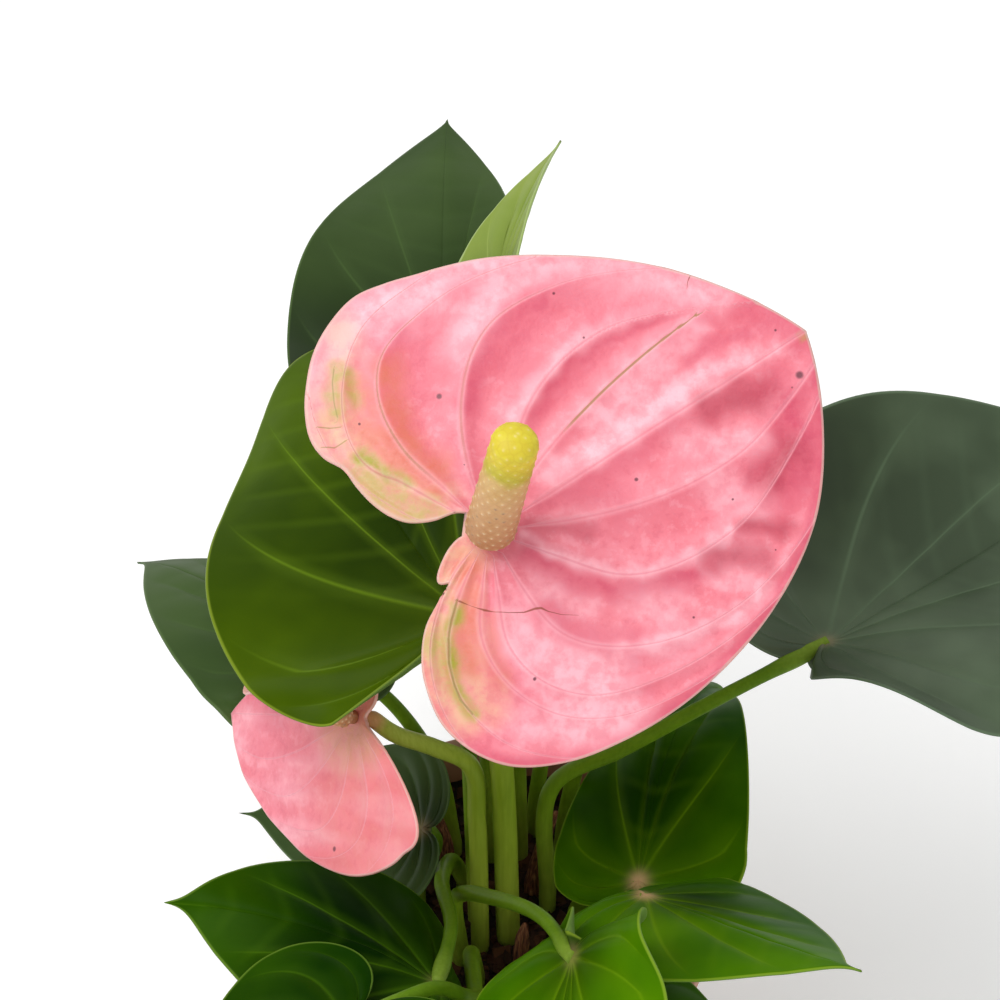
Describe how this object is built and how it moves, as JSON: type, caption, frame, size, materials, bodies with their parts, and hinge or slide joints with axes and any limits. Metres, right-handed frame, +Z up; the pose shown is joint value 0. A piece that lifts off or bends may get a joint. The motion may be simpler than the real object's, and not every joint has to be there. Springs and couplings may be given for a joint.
{
  "type": "potted anthurium",
  "caption": "Pink flowering anthurium in a round tapered pot: heart-shaped glossy leaves, quilted pink spathes with upright spadices, on slim stalks in potting mix.",
  "frame": {"origin": "centre of the pot's flat underside, where it stands on a surface", "axes": "+Z up out of the pot; the plant is seen from -Y, and +X is to the right in that view"},
  "size_m": [0.2658, 0.3372, 0.3054],
  "materials": {
    "pot_plastic": "matte moulded polypropylene, terracotta brown",
    "potting_mix": "moist bark and peat mix, matte",
    "glossy_leaf": "waxy deep green leaf with paler veins, satin gloss",
    "shaded_leaf": "waxy grey-green leaf with paler veins, satin",
    "young_leaf": "soft light green young leaf, satin",
    "flower_stalk": "smooth green stalk, satin",
    "spathe": "waxy pink spathe with paler veins and green-yellow flushes, satin gloss",
    "spadix": "cream spadix with a yellow-green tip, fine beaded, matte",
    "dry_sheath": "dry papery brown sheath, matte"
  },
  "bodies": {
    "root": {"pot": "pot_plastic", "potting_mix": "potting_mix", "leaf_left_glossy": "glossy_leaf", "leaf_back_tall": "shaded_leaf", "leaf_back_young": "young_leaf", "leaf_right_wide": "shaded_leaf", "leaf_left_far": "shaded_leaf", "leaf_left_low": "glossy_leaf", "leaf_front_left": "glossy_leaf", "leaf_front_low_left": "glossy_leaf", "leaf_front": "glossy_leaf", "leaf_front_low_right": "glossy_leaf", "leaf_right_upper": "glossy_leaf", "leaf_right_lower": "glossy_leaf", "leaf_back_right": "glossy_leaf", "leaf_back_low": "glossy_leaf", "leaf_right_under": "glossy_leaf", "leaf_front_under": "glossy_leaf", "main_flower_stalk": "flower_stalk", "main_spathe": "spathe", "main_spadix": "spadix", "second_flower_stalk": "flower_stalk", "second_spathe": "spathe", "second_spadix": "spadix", "sheath_right": "dry_sheath", "sheath_front": "dry_sheath", "sheath_back": "dry_sheath"}
  },
  "joints": []
}
